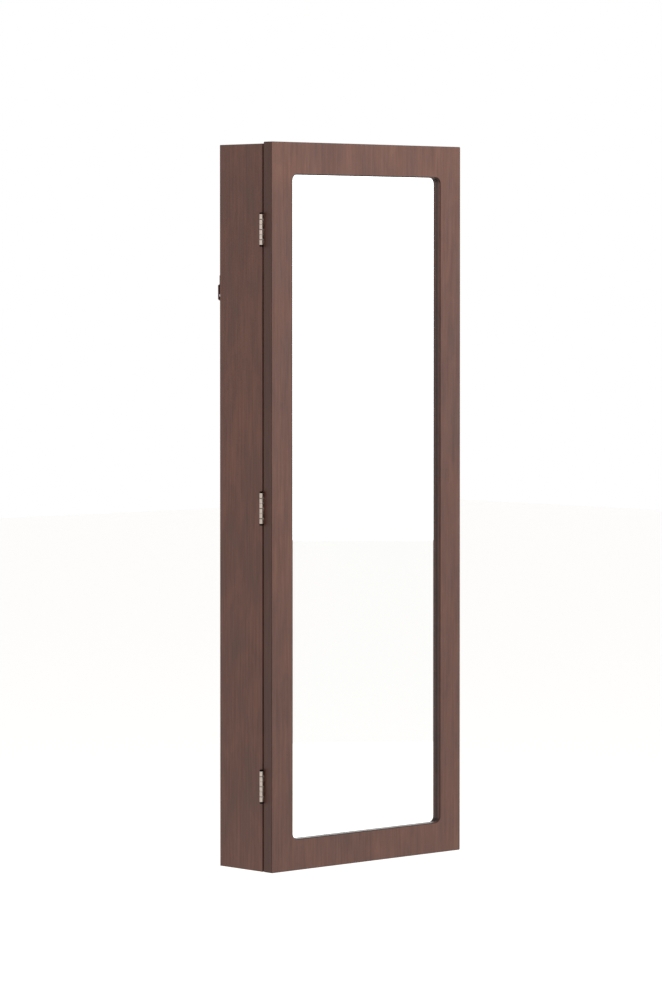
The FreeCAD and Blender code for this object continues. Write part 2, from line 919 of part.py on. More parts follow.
def earring_panel():
    y0 = y_door_lining + panel_standoff
    z_top = z_door_top - panel_below_top
    sheet = block(-panel_half_width, panel_half_width, y0, y0 + panel_thickness, z_top - panel_height, z_top)
    sheet = ease(sheet, panel_corner_radius, along_y)
    x_edge = panel_half_width - panel_side_edge
    z_edges = (z_top - panel_height + panel_end_edge, z_top - panel_end_edge)
    y_start = y0 - overcut
    length = panel_thickness + 2 * overcut
    for z in spread(z_edges[0], z_edges[1], panel_rows):
        for x in spread(-x_edge, x_edge, panel_columns):
            sheet = sheet.cut(rod((x, y_start, z), (0, 1, 0), panel_hole_radius, length))
    return sheet


def panel_spacers():
    return [rod((x, y_door_lining, z), (0, 1, 0), spacer_radius, panel_standoff) for x, z in panel_corners()]


def door_rack_screws():
    y_panel = y_door_lining + panel_standoff + panel_thickness
    through = door_lining_thickness + door_screw_bite
    screws = []
    for x, z in panel_corners():
        length = panel_thickness + panel_standoff + through
        screws.append(countersunk_screw((x, y_panel, z), (0, -1, 0), length))
    z = z_door_top - door_rail_below_top - door_rail_height / 2
    peg_step = 2 * (door_rail_half_width - door_peg_end_gap) / (door_peg_count - 1)
    for steps in (-2, 0, 2):
        start = (steps * peg_step, y_door_lining + door_rail_thickness, z)
        screws.append(countersunk_screw(start, (0, -1, 0), door_rail_thickness + through))
    return screws


def door_pouch():
    """A cloth pocket on the door's lining, open at its top."""
    z_low = z_door_bottom + pouch_above_bottom
    edge = pouch_half_width
    y_front = y_door_lining + pouch_depth
    z_mouth = z_low + pouch_height
    bag = block(-edge, edge, y_door_lining, y_front, z_low, z_mouth)
    bag = ease(
        bag,
        pouch_depth / 2,
        lambda box: flat_at(box.YMin, box.YMax, y_front) and not flat_at(box.ZMin, box.ZMax, z_mouth),
    )
    hollow = block(
        -edge + pouch_depth / 2,
        edge - pouch_depth / 2,
        y_door_lining + pouch_wall,
        y_front - pouch_wall,
        z_low + pouch_depth / 2,
        z_mouth + overcut,
    )
    return bag.cut(hollow)


# ---- the whole armoire ----
pieces = {
    "left_side": [side_panel(-1)],
    "right_side": [side_panel(1)],
    "top_panel": [end_panel(z_ceiling, z_ceiling)],
    "bottom_panel": [end_panel(z_body_bottom, z_floor)],
    "back_panel": [back_panel()],
    "left_hanger": [keyhole_hanger(-1)],
    "right_hanger": [keyhole_hanger(1)],
    "wall_pads": wall_pads(),
    "back_lining": [back_lining()],
    "left_lining": [side_lining(-1)],
    "right_lining": [side_lining(1)],
    "shelf_felts": shelf_felts(),
    "lower_shelf": [shelf(z_lower_shelf)],
    "middle_shelf": [shelf(z_middle_shelf)],
    "ring_shelf": [shelf(z_ring_shelf)],
    "upper_shelf": [shelf(z_upper_shelf)],
    "necklace_rail": [necklace_rail()],
    "ring_tray": [ring_tray()],
    "ring_rolls": ring_rolls(),
    "earring_brackets": [earring_bracket(-1), earring_bracket(1)],
    "earring_bars": earring_bars(),
    "bracelet_cradles": bracelet_cradles(),
    "upper_bracelet_core": [bracelet_core(bracelet_heights[0])],
    "upper_bracelet_sleeve": [bracelet_sleeve(bracelet_heights[0])],
    "lower_bracelet_core": [bracelet_core(bracelet_heights[1])],
    "lower_bracelet_sleeve": [bracelet_sleeve(bracelet_heights[1])],
    "catch_cases": catch_cases(),
    "catch_magnets": catch_magnets(),
    "strike_plates": strike_plates(),
    "door_frame": [door_frame()],
    "mirror_glass": [mirror_glass()],
    "mirror_board": [mirror_board()],
    "door_lining": [door_lining()],
    "door_peg_rail": [door_peg_rail()],
    "earring_panel": [earring_panel()],
    "panel_spacers": panel_spacers(),
    "door_pouch": [door_pouch()],
}
for place, z_mid in zip(("top", "middle", "bottom"), hinge_heights):
    pieces[place + "_hinge_body_leaf"] = [hinge_leaf(z_mid, "body")]
    pieces[place + "_hinge_door_leaf"] = [hinge_leaf(z_mid, "door")]
pieces["hinge_pins"] = [hinge_pin(z_mid) for z_mid in hinge_heights]

fasteners = {
    "carcass_dowels": carcass_dowels(),
    "back_panel_brads": back_panel_brads(),
    "hanger_screws": hanger_screws(),
    "shelf_pins": shelf_pins(),
    "guard_rods": guard_rods(),
    "necklace_pegs": necklace_pegs(),
    "rack_screws": rack_screws(),
    "cradle_screws": cradle_screws(),
    "hinge_body_screws": hinge_screws("body"),
    "hinge_door_screws": hinge_screws("door"),
    "catch_screws": catch_screws(),
    "strike_screws": strike_screws(),
    "board_screws": board_screws(),
    "door_pegs": door_pegs(),
    "door_rack_screws": door_rack_screws(),
}


def bored(solid, tools):
    """Cuts away every tool that reaches the piece."""
    for tool in tools:
        if solid.BoundBox.intersect(tool.BoundBox):
            solid = solid.cut(tool)
    return solid


all_fasteners = [solid for group in fasteners.values() for solid in group]
for name, solids in pieces.items():
    pieces[name] = [bored(solid, all_fasteners) for solid in solids]
for name, solids in fasteners.items():
    fasteners[name] = [bored(solid, driver_crosses) for solid in solids]

os.makedirs("parts", exist_ok=True)
for name, solids in {**pieces, **fasteners}.items():
    for solid in solids:
        if len(solid.Solids) != 1 or not solid.isValid():
            print("check", name, len(solid.Solids), solid.isValid())
    singles = [single for solid in solids for single in solid.Solids]
    shape = singles[0] if len(singles) == 1 else Part.makeCompound(singles)
    shape.exportStep("parts/" + name + ".step")
print(len(pieces) + len(fasteners), "nodes")
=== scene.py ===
# %% [markdown]
# # A wall-hung jewelry armoire with a mirror door
# This lesson dresses a cabinet whose parts already exist as exact solids. A joiner's parts (boards,
# hinges, glass, screws) keep those solids and only get a finish. Soft parts (rolls, padded bars, a
# cloth pocket) are modelled here as cloth and padding, and each takes the place of a plain solid.
# The first cell loads the solids; every length is in metres, and Z is up.

# %% Load the cabinet
import json
import math

import bmesh
import bpy
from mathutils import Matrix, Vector, noise


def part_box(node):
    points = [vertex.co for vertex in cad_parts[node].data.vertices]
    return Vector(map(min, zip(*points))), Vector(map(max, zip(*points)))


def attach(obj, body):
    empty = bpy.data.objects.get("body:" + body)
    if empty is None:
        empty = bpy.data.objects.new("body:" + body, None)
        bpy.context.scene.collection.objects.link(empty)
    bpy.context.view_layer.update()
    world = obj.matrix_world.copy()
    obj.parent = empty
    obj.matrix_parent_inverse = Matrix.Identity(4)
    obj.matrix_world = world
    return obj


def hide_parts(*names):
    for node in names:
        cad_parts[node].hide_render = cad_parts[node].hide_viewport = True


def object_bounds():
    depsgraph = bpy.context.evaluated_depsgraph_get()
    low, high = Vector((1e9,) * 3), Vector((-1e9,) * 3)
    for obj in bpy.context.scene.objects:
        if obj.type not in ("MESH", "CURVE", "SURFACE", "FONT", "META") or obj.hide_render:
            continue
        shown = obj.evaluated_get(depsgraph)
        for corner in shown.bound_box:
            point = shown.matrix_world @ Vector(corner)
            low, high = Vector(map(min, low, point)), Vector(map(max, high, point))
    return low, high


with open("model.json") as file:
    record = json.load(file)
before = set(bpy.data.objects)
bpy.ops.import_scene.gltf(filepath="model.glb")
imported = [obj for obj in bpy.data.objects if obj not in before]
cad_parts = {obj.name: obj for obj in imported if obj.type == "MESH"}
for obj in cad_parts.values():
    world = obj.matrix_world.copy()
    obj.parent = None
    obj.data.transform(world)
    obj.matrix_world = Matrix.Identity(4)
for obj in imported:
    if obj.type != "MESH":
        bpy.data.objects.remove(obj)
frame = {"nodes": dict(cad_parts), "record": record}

MM = 0.001
cad_low, cad_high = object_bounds()
cad_nodes = frame["nodes"]
print("cabinet", [round(side, 4) for side in cad_high - cad_low], "with", len(cad_nodes), "parts")

# %% [markdown]
# ## Camera
# A tall flat object is best seen from a distance with a long lens, so that its upright edges stay
# parallel. Pointing the camera down would make them converge. A view camera solves that by sliding
# its film instead of tilting, which Blender calls shift. Here most of the drop comes from shift, and
# a little from tilt.

# %% Camera
camera_data = bpy.data.cameras.new("view camera")
camera_data.lens = 155.4
camera_data.sensor_width = 36.0
camera_data.shift_y = -0.1223
camera_data.clip_end = 60.0
camera = bpy.data.objects.new("view camera", camera_data)
CAMERA_TILT = 1.25  # degrees below level
CAMERA_TURN = -43.1  # degrees round to the cabinet's left
camera.location = (-4.972, -5.355, 0.0196)
camera.rotation_euler = (math.radians(90 - CAMERA_TILT), 0, math.radians(CAMERA_TURN))
bpy.context.scene.collection.objects.link(camera)
bpy.context.scene.camera = camera
bpy.context.scene.view_settings.view_transform = "Standard"
print("camera", round(camera.location.length, 2), "m from the wall fixing")

# %% [markdown]
# ## White studio
# A mirror shows whatever stands in front of it, so the room matters as much as the object. This room
# is a white tent: the world is white where the eye or a polished surface looks at it, and dimmer as a
# source of light, so that the boards keep their shading. A Light Path node tells the two apart.

# %% White room
ROOM_FILL = 0.62  # how brightly the tent lights matt surfaces
world = bpy.data.worlds.new("white tent")
bpy.context.scene.world = world
world.use_nodes = True
tent = world.node_tree
backdrop = tent.nodes["Background"]
backdrop.inputs["Color"].default_value = (1, 1, 1, 1)
ray = tent.nodes.new("ShaderNodeLightPath")
seen = tent.nodes.new("ShaderNodeMath")
seen.operation = "MAXIMUM"
tent.links.new(ray.outputs["Is Camera Ray"], seen.inputs[0])
tent.links.new(ray.outputs["Is Glossy Ray"], seen.inputs[1])
through = tent.nodes.new("ShaderNodeMath")
through.operation = "MAXIMUM"
tent.links.new(seen.outputs[0], through.inputs[0])
tent.links.new(ray.outputs["Is Transmission Ray"], through.inputs[1])
level = tent.nodes.new("ShaderNodeMapRange")
level.inputs["To Min"].default_value = ROOM_FILL
level.inputs["To Max"].default_value = 1.0
tent.links.new(through.outputs[0], level.inputs["Value"])
tent.links.new(level.outputs[0], backdrop.inputs["Strength"])
print("tent light", ROOM_FILL)

# %% [markdown]
# The floor is a plain pale sheet well below the cabinet, because the cabinet hangs. A faint glow
# keeps it as pale as the tent, as a lit sweep of paper would be. The lamps are area lights: the
# bigger a lamp is beside the object, the softer its shadows. The key stands in front and high, so
# the top of the frame catches more sheen than the bottom. Three slightly warm fills lift what the
# key leaves dark: the left side, the upper left of the frame and its foot.

# %% Floor and lamps
FLOOR_HALF = 14.0  # half the width of the sheet
FLOOR_DROP = 0.38  # how far it lies below the cabinet
FLOOR_GLOW = 0.42


def stage_floor():
    half = FLOOR_HALF
    z = cad_low.z - FLOOR_DROP
    mesh = bpy.data.meshes.new("floor")
    corners = [(-half, -half, z), (half, -half, z), (half, half, z), (-half, half, z)]
    mesh.from_pydata(corners, [], [(0, 1, 2, 3)])
    floor = bpy.data.objects.new("floor", mesh)
    bpy.context.scene.collection.objects.link(floor)
    paper = bpy.data.materials.new("pale paper")
    paper.use_nodes = True
    shader = paper.node_tree.nodes["Principled BSDF"]
    shader.inputs["Base Color"].default_value = (0.86, 0.86, 0.86, 1)
    shader.inputs["Roughness"].default_value = 0.9
    shader.inputs["Emission Color"].default_value = (1.0, 0.97, 0.94, 1)
    shader.inputs["Emission Strength"].default_value = FLOOR_GLOW
    mesh.materials.append(paper)


def area_lamp(name, place, aim, size, power, colour=(1, 1, 1)):
    data = bpy.data.lights.new(name, "AREA")
    data.shape = "RECTANGLE"
    data.size, data.size_y = size
    data.energy = power
    data.color = colour
    lamp = bpy.data.objects.new(name, data)
    lamp.location = place
    lamp.rotation_mode = "QUATERNION"
    lamp.rotation_quaternion = (Vector(aim) - Vector(place)).to_track_quat("-Z", "Y")
    bpy.context.scene.collection.objects.link(lamp)
    return lamp


stage_floor()
middle = (cad_low + cad_high) / 2
key_aim = (0, middle.y, 0.1)
low_aim = (0.1, middle.y, -0.8)
high_aim = (-0.2, middle.y, 0.15)
box_aim = (0, middle.y, -0.1)
area_lamp("key", (0.08, -0.9, 1.12), key_aim, (0.9, 0.6), 13, (1.0, 0.95, 0.86))
area_lamp("low fill", (0.9, -1.2, -1.1), low_aim, (0.8, 0.4), 0.5, (1.0, 0.84, 0.7))
area_lamp("left fill", (-3.1, -2.2, 1.2), middle, (1.2, 2.0), 24, (1.0, 0.93, 0.88))
area_lamp("high fill", (-0.6, -1.3, 0.75), high_aim, (0.5, 0.4), 1.1, (1.0, 0.93, 0.86))
area_lamp("top", (0.2, -0.6, 3.0), middle, (2.5, 2.5), 30)

# A cool soft box that only shows as a reflection in the lacquer, and leaves the matt colour alone.
window = area_lamp("cool soft box", (2.6, -2.9, 0.35), box_aim, (2.6, 2.0), 23, (0.8, 0.95, 1.0))
window.data.diffuse_factor = 0.0
print("lamps aimed at", [round(value, 3) for value in middle])

# %% [markdown]
# ## Finish helpers
# Every finish below is a Principled shader fed by small node groups: a noise for colour, another
# for roughness, a height for relief. Writing those three steps once keeps each finish short. The
# Object texture coordinate is in metres here, so a scale of 100 is one wave per centimetre, and the
# grain keeps the same size on every part.

# %% Helpers for finishes
# A Mix node keeps a set of sockets for each kind of value. These are the ones it uses for colour.
MIX_FACTOR = 0
MIX_FIRST = 6
MIX_SECOND = 7
MIX_RESULT = 2


def tone(red, green, blue):
    """A colour picked on screen (0 to 255) as the linear colour that a shader wants."""
    picked = [value / 255 for value in (red, green, blue)]
    linear = [v / 12.92 if v <= 0.04045 else ((v + 0.055) / 1.055) ** 2.4 for v in picked]
    return (*linear, 1.0)


class Finish:
    """A material with its shader at hand, and short ways to add noise, colour and relief."""

    def __init__(self, name, base, roughness, metallic=0.0):
        self.material = bpy.data.materials.new(name)
        self.material.use_nodes = True
        self.tree = self.material.node_tree
        self.shader = self.tree.nodes["Principled BSDF"]
        self.set("Base Color", base)
        self.set("Roughness", roughness)
        self.set("Metallic", metallic)
        self.place = self.node("ShaderNodeTexCoord").outputs["Object"]

    def node(self, kind, **settings):
        made = self.tree.nodes.new(kind)
        for key, value in settings.items():
            setattr(made, key, value)
        return made

    def set(self, socket, value):
        self.shader.inputs[socket].default_value = value

    def link(self, source, target):
        self.tree.links.new(source, target)

    def feed(self, value, target):
        """Link another node's output to a socket, or set the socket to a plain value."""
        if isinstance(value, bpy.types.NodeSocket):
            self.link(value, target)
        else:
            target.default_value = value

    def stretched(self, scale):
        mapping = self.node("ShaderNodeMapping")
        mapping.inputs["Scale"].default_value = scale
        self.link(self.place, mapping.inputs["Vector"])
        return mapping.outputs["Vector"]

    def noise(self, scale, stretch=(1, 1, 1), detail=4.0, rough=0.55, twist=0.0):
        made = self.node("ShaderNodeTexNoise")
        made.inputs["Scale"].default_value = scale
        made.inputs["Detail"].default_value = detail
        made.inputs["Roughness"].default_value = rough
        made.inputs["Distortion"].default_value = twist
        self.link(self.stretched(stretch), made.inputs["Vector"])
        return made.outputs["Fac"]

    def ramp(self, factor, stops):
        made = self.node("ShaderNodeValToRGB")
        elements = made.color_ramp.elements
        while len(elements) < len(stops):
            elements.new(0.5)
        for element, (position, colour) in zip(elements, stops):
            element.position = position
            element.color = colour
        self.link(factor, made.inputs["Fac"])
        return made.outputs["Color"]

    def range(self, factor, low, high, start=0.3, end=0.7):
        made = self.node("ShaderNodeMapRange")
        made.inputs["From Min"].default_value = start
        made.inputs["From Max"].default_value = end
        made.inputs["To Min"].default_value = low
        made.inputs["To Max"].default_value = high
        self.link(factor, made.inputs["Value"])
        return made.outputs["Result"]

    def math(self, operation, first, second):
        made = self.node("ShaderNodeMath", operation=operation)
        self.feed(first, made.inputs[0])
        self.feed(second, made.inputs[1])
        return made.outputs[0]

    def blend(self, mode, factor, first, second):
        made = self.node("ShaderNodeMix", data_type="RGBA", blend_type=mode)
        self.feed(factor, made.inputs[MIX_FACTOR])
        self.feed(first, made.inputs[MIX_FIRST])
        self.feed(second, made.inputs[MIX_SECOND])
        return made.outputs[MIX_RESULT]

    def facing(self):
        """How much the surface faces along X, Y and Z, each from 0 to 1."""
        normal = self.node("ShaderNodeTexCoord").outputs["Normal"]
        parts = self.node("ShaderNodeSeparateXYZ")
        self.link(normal, parts.inputs[0])
        return [self.math("ABSOLUTE", output, 0.0) for output in parts.outputs]

    def outside(self, low, high):
        """Metres that a point lies outside an upright rectangle, seen from the front."""
        parts = self.node("ShaderNodeSeparateXYZ")
        self.link(self.place, parts.inputs[0])
        beyond = []
        for axis in (0, 2):
            half = (high[axis] - low[axis]) / 2
            offset = self.math("SUBTRACT", parts.outputs[axis], low[axis] + half)
            beyond.append(self.math("SUBTRACT", self.math("ABSOLUTE", offset, 0.0), half))
        return self.math("MAXIMUM", *beyond)

    def depth_between(self, front, back):
        """From 0 at the front to 1 at the back, along Y."""
        parts = self.node("ShaderNodeSeparateXYZ")
        self.link(self.place, parts.inputs[0])
        return self.range(parts.outputs[1], 0.0, 1.0, front, back)

    def relief(self, height, depth, strength=1.0):
        made = self.node("ShaderNodeBump")
        made.inputs["Strength"].default_value = strength
        made.inputs["Distance"].default_value = depth
        self.link(height, made.inputs["Height"])
        self.link(made.outputs["Normal"], self.shader.inputs["Normal"])

    def colour(self, source):
        self.link(source, self.shader.inputs["Base Color"])

    def gloss(self, source):
        self.link(source, self.shader.inputs["Roughness"])


print("helpers ready")

# %% [markdown]
# ## Brown stained wood
# The boards are stained a warm dark brown under a satin lacquer. The grain is fine and straight and
# nearly drowned by the stain, so what shows is mostly soft blotches where the wood drank more or
# less of it. A noise stretched twenty times along Z makes the grain, and two broad ones the blotches.
#
# Edges look different from faces. Every eased arris gets a thin line of painted shade, the shade a
# rounded edge turns into, and the edges of the door frame, outer and inner, are darker than its
# faces. Both can be found from the surface's own direction, its normal: a flat face has one part of
# the normal near 1, and an arris has none. A frame edge has a small Y part. Sanding also leaves an
# arris rougher than the faces, so it shines less. Where the frame meets the glass, painted shade
# darkens the corner in a thin dark line, found from how near a point is to the opening and how deep
# it lies. None of this needs an image texture.

# %% Brown stained wood
CORNER_SHADE_DEPTH = 4 * MM  # how far the painted corner shade climbs from the glass
CORNER_SHADE_FULL = 1.0 * MM  # it is darkest this near the opening
CORNER_SHADE_GONE = 2.5 * MM  # and gone this far from it


def brown_stain(name, edge_tone=None, opening=None):
    finish = Finish(name, tone(104, 68, 56), 0.42)
    finish.set("Specular IOR Level", 0.32)
    finish.set("Coat Weight", 0.04)
    finish.set("Coat Roughness", 0.3)
    grain = finish.noise(230, (1, 1, 0.045), detail=5, rough=0.65, twist=0.1)
    pores = finish.noise(1100, (1, 1, 0.03), detail=2, rough=0.5)
    blotches = finish.noise(34, (1, 1, 0.4), detail=4, rough=0.6, twist=0.4)
    clouds = finish.noise(4.5, (1, 1, 0.6), detail=2, rough=0.5)
    colour = finish.ramp(
        grain,
        [(0.30, tone(87, 56, 46)), (0.52, tone(98, 65, 54)), (0.75, tone(107, 73, 61))],
    )
    blotchy = finish.ramp(blotches, [(0.3, tone(210, 210, 214)), (0.7, tone(255, 249, 241))])
    stained = finish.ramp(clouds, [(0.3, tone(232, 228, 230)), (0.7, tone(255, 244, 236))])
    colour = finish.blend("MULTIPLY", 0.75, colour, blotchy)
    colour = finish.blend("MULTIPLY", 0.7, colour, stained)
    across, outward, upward = finish.facing()
    flatness = finish.math("MAXIMUM", finish.math("MAXIMUM", across, outward), upward)
    arris = finish.range(flatness, 1.0, 0.0, 0.86, 0.985)
    # Painted shade: a thin dark line along every arris, the shade a rounded edge turns into.
    colour = finish.blend("MULTIPLY", arris, colour, tone(158, 148, 148))
    # The door frame's edges, outer and inner, are made darker than its faces.
    if edge_tone:
        on_edge = finish.range(outward, 1.0, 0.0, 0.2, 0.6)
        colour = finish.blend("MULTIPLY", on_edge, colour, edge_tone)
    # Painted shade: a thin dark line in the corner where the frame meets the glass, darkest at the
    # glass.
    if opening:
        low, high = opening
        beside = finish.range(finish.outside(low, high), 1.0, 0.0, CORNER_SHADE_FULL, CORNER_SHADE_GONE)
        deep = finish.depth_between(high[1] - CORNER_SHADE_DEPTH, high[1])
        in_corner_shade = finish.math("MULTIPLY", beside, deep)
        colour = finish.blend("MULTIPLY", in_corner_shade, colour, tone(128, 118, 118))
    finish.colour(colour)
    satin = finish.range(finish.noise(60, (1, 1, 0.1)), 0.38, 0.5)
    finish.gloss(finish.math("ADD", satin, finish.math("MULTIPLY", arris, 0.35)))
    finish.relief(finish.math("ADD", pores, grain), 0.00006, 0.4)
    return finish.material


spaces = {space["name"]: space["box_m"] for space in frame["record"]["physics"]["openings"]}
from_side_to_side = spaces["mirror_recess"]
from_rail_to_rail = spaces["mirror_recess_ends"]
sight_low = (from_side_to_side[0][0], from_side_to_side[0][1], from_rail_to_rail[0][2])
sight_high = (from_side_to_side[1][0], from_side_to_side[1][1], from_rail_to_rail[1][2])

brown_wood = brown_stain("brown stained wood")
frame_wood = brown_stain("brown stained frame", tone(200, 191, 189), (sight_low, sight_high))
print(brown_wood.name, len(brown_wood.node_tree.nodes), "nodes")

# %% [markdown]
# ## Silvered glass
# A mirror is a metal film behind glass. A metallic shader with almost no roughness gives the film,
# and a clear coat with the index of glass gives the front face. Real glass is never quite even, so a
# very faint noise moves the roughness by a hair.


# %% Silvered glass
def silvered_glass():
    finish = Finish("silvered glass", tone(255, 255, 255), 0.0, metallic=1.0)
    finish.set("Coat Weight", 0.3)
    finish.set("Coat Roughness", 0.0)
    finish.set("Coat IOR", 1.5)
    finish.gloss(finish.range(finish.noise(9, detail=3), 0.0, 0.012))
    tint = finish.noise(3, detail=2)
    finish.colour(finish.ramp(tint, [(0.3, tone(253, 255, 254)), (0.7, tone(255, 255, 255))]))
    return finish.material


mirror_film = silvered_glass()
print(mirror_film.name, "ready")

# %% [markdown]
# ## Metals
# Plated and lacquered metals differ in tint, in roughness and in how they were rubbed. One function
# makes them all: a stretched noise is the direction of the brush, a broad one is handling wear.


# %% Metals
def rubbed_metal(name, light, dark, smooth, rough, stretch=(1, 1, 1), scale=700):
    finish = Finish(name, light, (smooth + rough) / 2, metallic=1.0)
    brushed = finish.noise(scale, stretch, detail=3, rough=0.6)
    wear = finish.noise(90, detail=4)
    finish.colour(finish.ramp(wear, [(0.35, dark), (0.6, light)]))
    finish.gloss(finish.range(brushed, smooth, rough))
    finish.relief(brushed, 0.00002, 0.4)
    return finish.material


upright_brush = (1, 1, 0.08)
nickel_light, nickel_dark = tone(190, 178, 168), tone(181, 169, 159)
nickel = rubbed_metal("satin nickel", nickel_light, nickel_dark, 0.32, 0.46, upright_brush)
brass = rubbed_metal("lacquered brass", tone(222, 188, 128), tone(208, 172, 112), 0.2, 0.36)
zinc = rubbed_metal("zinc plate", tone(190, 190, 187), tone(174, 174, 172), 0.32, 0.5)
print("metals:", nickel.name, brass.name, zinc.name)

# %% [markdown]
# Blackened steel, enamel and ferrite are covered: what shows is the coat, so their shader isn't
# metallic. One fine mottle moves the colour, the gloss and the relief together.


# %% Dark and painted metals
def coated_metal(name, light, dark, roughness, shine=0.4):
    finish = Finish(name, light, roughness)
    finish.set("Specular IOR Level", shine)
    mottle = finish.noise(260, detail=5, rough=0.6)
    finish.colour(finish.ramp(mottle, [(0.3, dark), (0.7, light)]))
    finish.gloss(finish.range(mottle, roughness - 0.07, roughness + 0.08))
    finish.relief(mottle, 0.00006, 0.5)
    return finish.material


black_steel = coated_metal("blackened steel", tone(14, 9, 8), tone(7, 5, 5), 0.7, 0.05)
brown_enamel = coated_metal("brown enamel", tone(86, 62, 58), tone(70, 50, 47), 0.5, 0.25)
ferrite = coated_metal("dull ferrite", tone(62, 61, 62), tone(38, 38, 39), 0.62)
print("coated metals:", black_steel.name, brown_enamel.name, ferrite.name)

# %% [markdown]
# ## Suede, velvet and cotton
# Short-napped cloth has no weave to see. What sells it is sheen, a pale rim where the fibres catch
# light edge on, and cloudy patches where the nap lies another way. Velvet is the same with a deeper
# pile and more sheen. The pocket is plain woven cotton, so there the threads show: two wave textures
# at right angles, 0.9 mm apart, are its warp and weft.


# %% Suede and velvet
def napped_cloth(name, pale, deep, sheen, fibre, cloud_scale):
    finish = Finish(name, pale, 0.92)
    finish.set("Specular IOR Level", 0.15)
    finish.set("Sheen Weight", sheen)
    finish.set("Sheen Roughness", 0.45)
    finish.set("Sheen Tint", pale)
    nap = finish.noise(cloud_scale, (1, 1, 0.7), detail=5, rough=0.6, twist=0.6)
    fibres = finish.noise(fibre, detail=3, rough=0.7)
    clouds = finish.ramp(nap, [(0.2, deep), (0.8, pale)])
    specks = finish.ramp(fibres, [(0.3, tone(214, 210, 206)), (0.7, tone(255, 255, 255))])
    finish.colour(finish.blend("MULTIPLY", 0.7, clouds, specks))
    finish.relief(finish.math("ADD", fibres, nap), 0.00025, 0.6)
    return finish.material


suede = napped_cloth("faux suede", tone(196, 180, 158), tone(184, 167, 145), 0.2, 1500, 60)
velvet = napped_cloth("short velvet", tone(186, 166, 140), tone(160, 140, 115), 0.5, 2300, 70)
print("cloths:", suede.name, velvet.name)

# %% [markdown]
# The cotton's two waves are multiplied, which leaves a raised spot where two threads cross. A
# stretched noise adds slubs, the thick places in a yarn.

# %% Woven cotton
THREAD_PITCH = 0.9 * MM
WAVE_STEP = 20  # a Wave texture multiplies a place by this before it takes the sine
FULL_TURN = 6.2832  # radians from one thread to the next


def woven_cotton():
    finish = Finish("woven cotton", tone(188, 168, 142), 0.88)
    finish.set("Specular IOR Level", 0.2)
    finish.set("Sheen Weight", 0.2)
    threads = []
    for direction in ("X", "Z"):
        wave = finish.node("ShaderNodeTexWave", bands_direction=direction, wave_profile="SIN")
        wave.inputs["Scale"].default_value = 1 / (THREAD_PITCH * WAVE_STEP)
        wave.inputs["Distortion"].default_value = 0.6
        wave.inputs["Detail Scale"].default_value = 3.0
        finish.link(finish.stretched((FULL_TURN, FULL_TURN, FULL_TURN)), wave.inputs["Vector"])
        threads.append(wave.outputs["Fac"])
    weave = finish.math("MULTIPLY", threads[0], threads[1])
    slub = finish.noise(380, (1, 1, 0.12), detail=3)
    # Painted shade: darker in the hollows between threads, lighter on the raised crossings.
    base = finish.ramp(weave, [(0.0, tone(156, 136, 112)), (0.6, tone(192, 172, 146))])
    worn = finish.ramp(slub, [(0.3, tone(226, 222, 216)), (0.7, tone(255, 255, 255))])
    finish.colour(finish.blend("MULTIPLY", 0.6, base, worn))
    finish.relief(finish.math("ADD", weave, slub), 0.0002, 0.7)
    return finish.material


cotton = woven_cotton()
print(cotton.name, "with a thread every", THREAD_PITCH * 1000, "mm")

# %% [markdown]
# ## Acrylic, plastic, rubber, board and beech
# Real glass shaders bend light, and a path tracer finds few ways for a lamp's light to pass through
# them, so what stands close behind a bent-light sheet goes grey. A 3 mm sheet hardly bends anything,
# so alpha says it better: most light goes straight on, and the rest meets a glossy pale surface. More
# of it does on cut edges and holes, which a saw or a drill leaves frosted. The other finishes are
# matt: moulded plastic with a fine spark texture, rubber with bloom, pressed board with its flecks,
# and turned beech with short dark dashes.


# %% Clear acrylic
def clear_acrylic():
    finish = Finish("clear acrylic", tone(226, 236, 237), 0.06)
    finish.set("Specular IOR Level", 0.5)
    scuffs = finish.noise(120, (1, 1, 0.25), detail=6, rough=0.7)
    finish.gloss(finish.range(scuffs, 0.03, 0.12))
    finish.colour(finish.ramp(scuffs, [(0.2, tone(206, 220, 222)), (0.8, tone(236, 243, 244))]))
    across, outward, upward = finish.facing()
    on_face = finish.range(outward, 0.0, 1.0, 0.3, 0.9)
    clear = finish.range(scuffs, 0.05, 0.1)
    cut_edge = finish.math("MULTIPLY", finish.math("SUBTRACT", 1.0, on_face), 0.5)
    finish.link(finish.math("ADD", clear, cut_edge), finish.shader.inputs["Alpha"])
    return finish.material


acrylic = clear_acrylic()
print(acrylic.name, "ready")

# %% [markdown]
# Plastic, rubber, board and beech share one function. A noise picks between a light and a dark
# shade, and the same noise moves the gloss and the relief. Its scale and stretch tell them apart.


# %% Plastic, rubber, board and beech
def flecked(name, light, dark, roughness, scale, stretch=(1, 1, 1), depth=0.00012):
    finish = Finish(name, light, roughness)
    finish.set("Specular IOR Level", 0.35)
    flecks = finish.noise(scale, stretch, detail=6, rough=0.7)
    soft = finish.noise(14, detail=2)
    colours = finish.ramp(flecks, [(0.35, dark), (0.62, light)])
    bloom = finish.ramp(soft, [(0.3, tone(232, 232, 232)), (0.7, tone(255, 255, 255))])
    finish.colour(finish.blend("MULTIPLY", 0.5, colours, bloom))
    finish.gloss(finish.range(flecks, roughness - 0.08, roughness + 0.08))
    finish.relief(flecks, depth, 0.6)
    return finish.material


brown_plastic = flecked("moulded brown plastic", tone(104, 78, 66), tone(92, 68, 58), 0.5, 1100)
rubber = flecked("black rubber", tone(44, 43, 43), tone(30, 29, 29), 0.75, 600)
hardboard = flecked("pressed board", tone(134, 101, 76), tone(112, 82, 60), 0.7, 420)
beech = flecked("turned beech", tone(214, 180, 132), tone(188, 150, 104), 0.45, 260, (0.12, 1, 1))
print("plain finishes:", brown_plastic.name, rubber.name, hardboard.name, beech.name)

# %% [markdown]
# ## Dress the joinery
# The record lists which finish each part has, by a slot name. A table from slot to material is
# enough to dress every solid: the loop below puts the material in the part's own slots and leaves
# its mesh alone.

